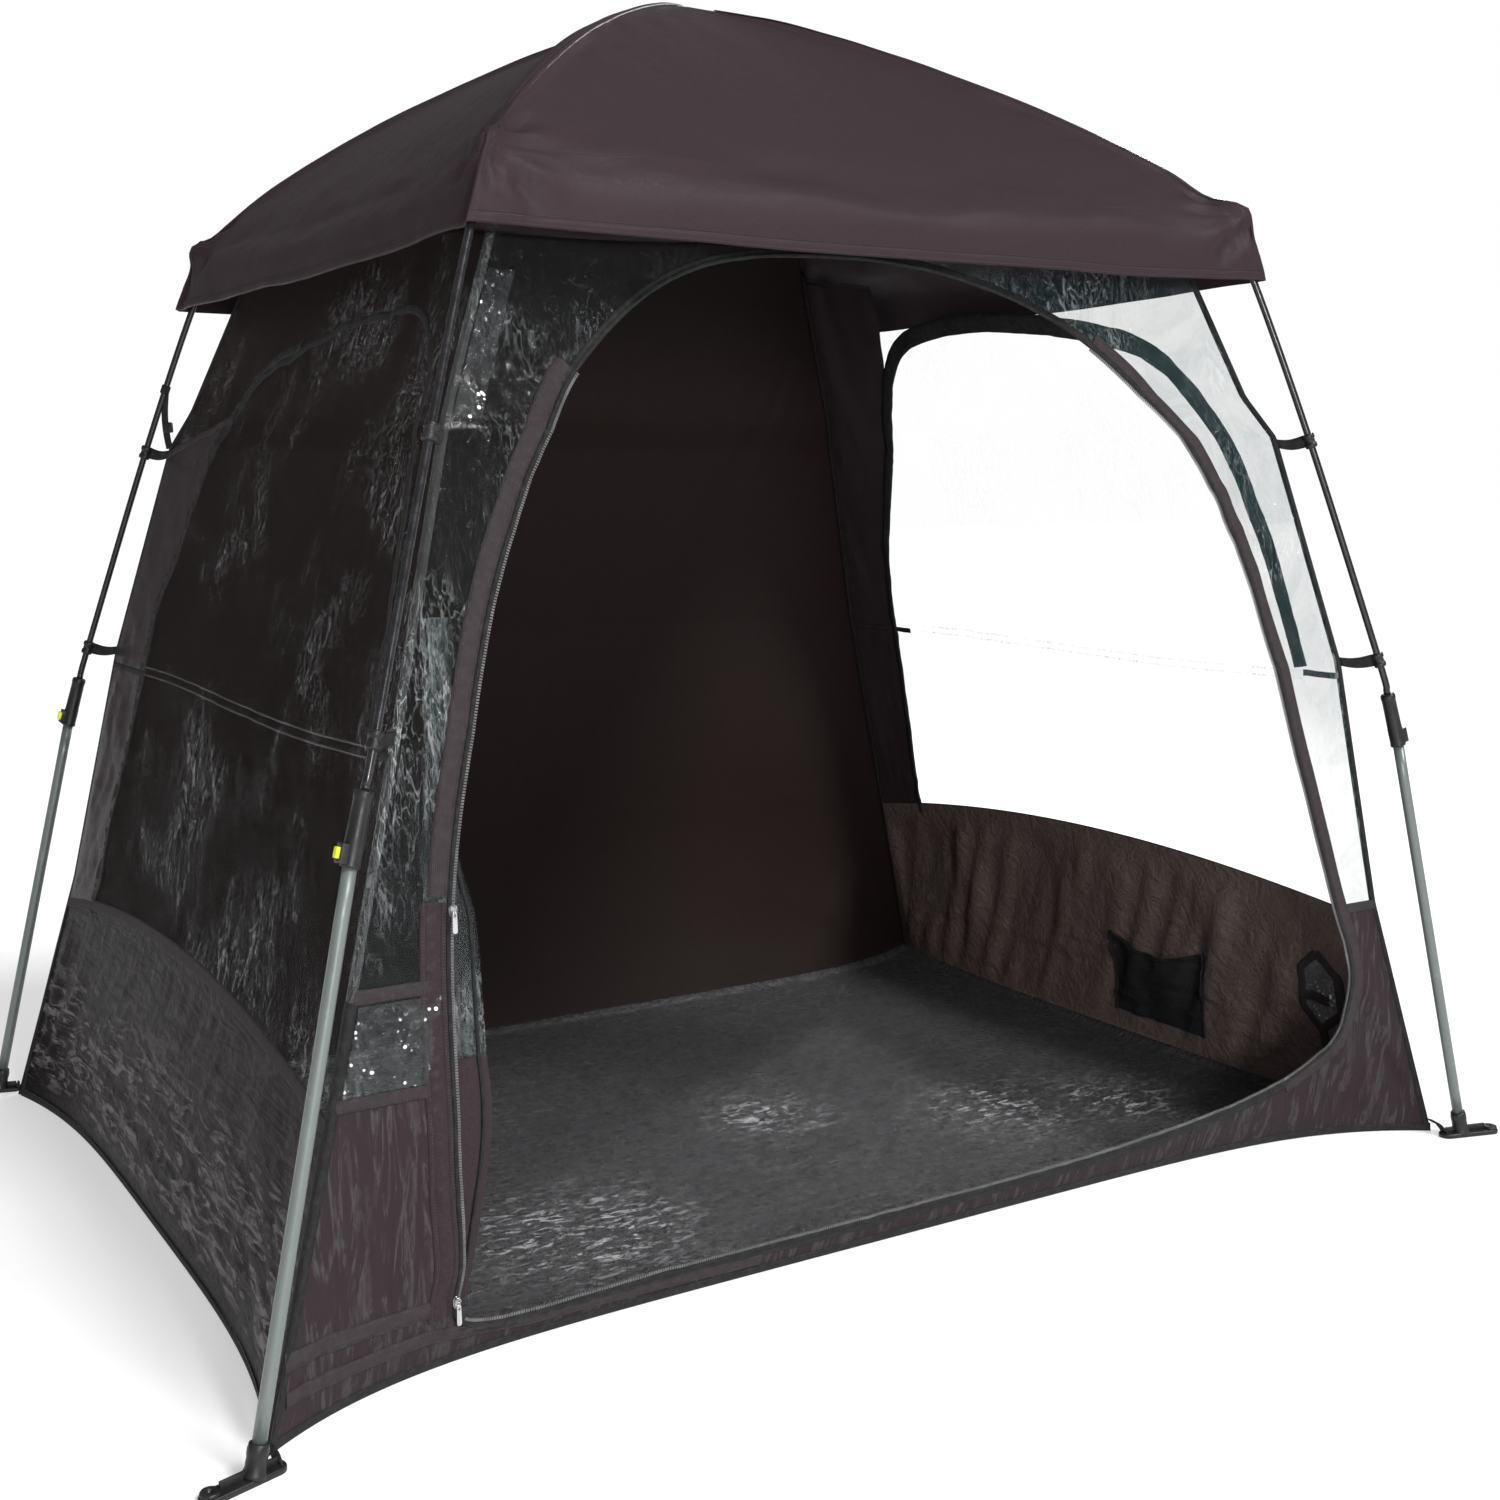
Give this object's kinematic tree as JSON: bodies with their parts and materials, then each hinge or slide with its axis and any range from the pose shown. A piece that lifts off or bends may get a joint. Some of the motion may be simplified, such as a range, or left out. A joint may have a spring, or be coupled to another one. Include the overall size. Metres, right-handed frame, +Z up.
{
  "type": "sports weather pod",
  "caption": "Walk-in pop-up weather pod: bowed pole frame, hipped canopy, clear zip-door enclosure and woven floor.",
  "frame": {"origin": "on the ground under the canopy's peak, at the middle of the four feet", "axes": "+Z up, +X along the long side, the doorway faces -Y"},
  "size_m": [2.4468, 1.835, 2.0807],
  "materials": {
    "canopy_cloth": "coated polyester, dark brown-grey, satin",
    "wall_cloth": "coated polyester, dark brown-grey, matte",
    "clear_film": "clear flexible vinyl, glossy, creased",
    "woven_floor": "woven coated tape cloth, dark grey, glossy",
    "grey_tube": "silver-grey powder coat",
    "black_plastic": "moulded, satin",
    "black_rod": "black coated flexible rod",
    "black_webbing": "woven tape",
    "yellow_button": "bright moulded plastic",
    "zip_metal": "plated zinc"
  },
  "bodies": {
    "pod": {"canopy": "canopy_cloth", "roof_hub": "black_plastic", "roof_arm_front_left": "black_rod", "roof_arm_front_right": "black_rod", "roof_arm_back_left": "black_rod", "roof_arm_back_right": "black_rod", "upper_rod_front_left": "black_rod", "upper_rod_front_right": "black_rod", "upper_rod_back_left": "black_rod", "upper_rod_back_right": "black_rod", "sleeve_front_left": "black_plastic", "sleeve_front_right": "black_plastic", "sleeve_back_left": "black_plastic", "sleeve_back_right": "black_plastic", "lower_tube_front_left": "grey_tube", "lower_tube_front_right": "grey_tube", "lower_tube_back_left": "grey_tube", "lower_tube_back_right": "grey_tube", "foot_front_left": "black_plastic", "foot_front_right": "black_plastic", "foot_back_left": "black_plastic", "foot_back_right": "black_plastic", "low_strap_front_left": "black_webbing", "low_strap_front_right": "black_webbing", "low_strap_back_left": "black_webbing", "low_strap_back_right": "black_webbing", "high_strap_front_left": "black_webbing", "high_strap_front_right": "black_webbing", "high_strap_back_left": "black_webbing", "high_strap_back_right": "black_webbing", "front_lower_left": "wall_cloth", "front_lower_right": "wall_cloth", "front_sill": "wall_cloth", "front_window_left": "clear_film", "front_window_right": "clear_film", "door_trim": "black_webbing", "door_flap": "clear_film", "left_wall_lower": "wall_cloth", "left_window": "clear_film", "right_wall_lower": "wall_cloth", "right_window": "clear_film", "back_wall": "wall_cloth", "floor_sheet": "woven_floor", "zip_slider_high": "zip_metal", "zip_slider_low": "zip_metal"},
    "button_front_left": {"button_front_left": "yellow_button"},
    "button_front_right": {"button_front_right": "yellow_button"},
    "button_back_left": {"button_back_left": "yellow_button"},
    "button_back_right": {"button_back_right": "yellow_button"},
    "zip_pull_high": {"zip_pull_high": "zip_metal"},
    "zip_pull_low": {"zip_pull_low": "zip_metal"}
  },
  "joints": [
    {"name": "press_front_left", "type": "slide", "parent": "pod", "child": "button_front_left", "axis": [0.9648, -0.0221, -0.2622], "range_m": [0, 0.0025], "stiffness_N_per_m": 300},
    {"name": "press_front_right", "type": "slide", "parent": "pod", "child": "button_front_right", "axis": [-0.9648, -0.0221, -0.2622], "range_m": [0, 0.0025], "stiffness_N_per_m": 300},
    {"name": "press_back_left", "type": "slide", "parent": "pod", "child": "button_back_left", "axis": [0.9648, 0.0221, -0.2622], "range_m": [0, 0.0025], "stiffness_N_per_m": 300},
    {"name": "press_back_right", "type": "slide", "parent": "pod", "child": "button_back_right", "axis": [-0.9648, 0.0221, -0.2622], "range_m": [0, 0.0025], "stiffness_N_per_m": 300},
    {"name": "pull_high_swing", "type": "hinge", "parent": "pod", "child": "zip_pull_high", "pos_m": [-0.826, -0.79732, 0.66548], "axis": [-1, 0, 0], "range_deg": [0, 100]},
    {"name": "pull_low_swing", "type": "hinge", "parent": "pod", "child": "zip_pull_low", "pos_m": [-0.82663, -0.77286, 0.10626], "axis": [-1, 0, 0], "range_deg": [0, 100]}
  ]
}
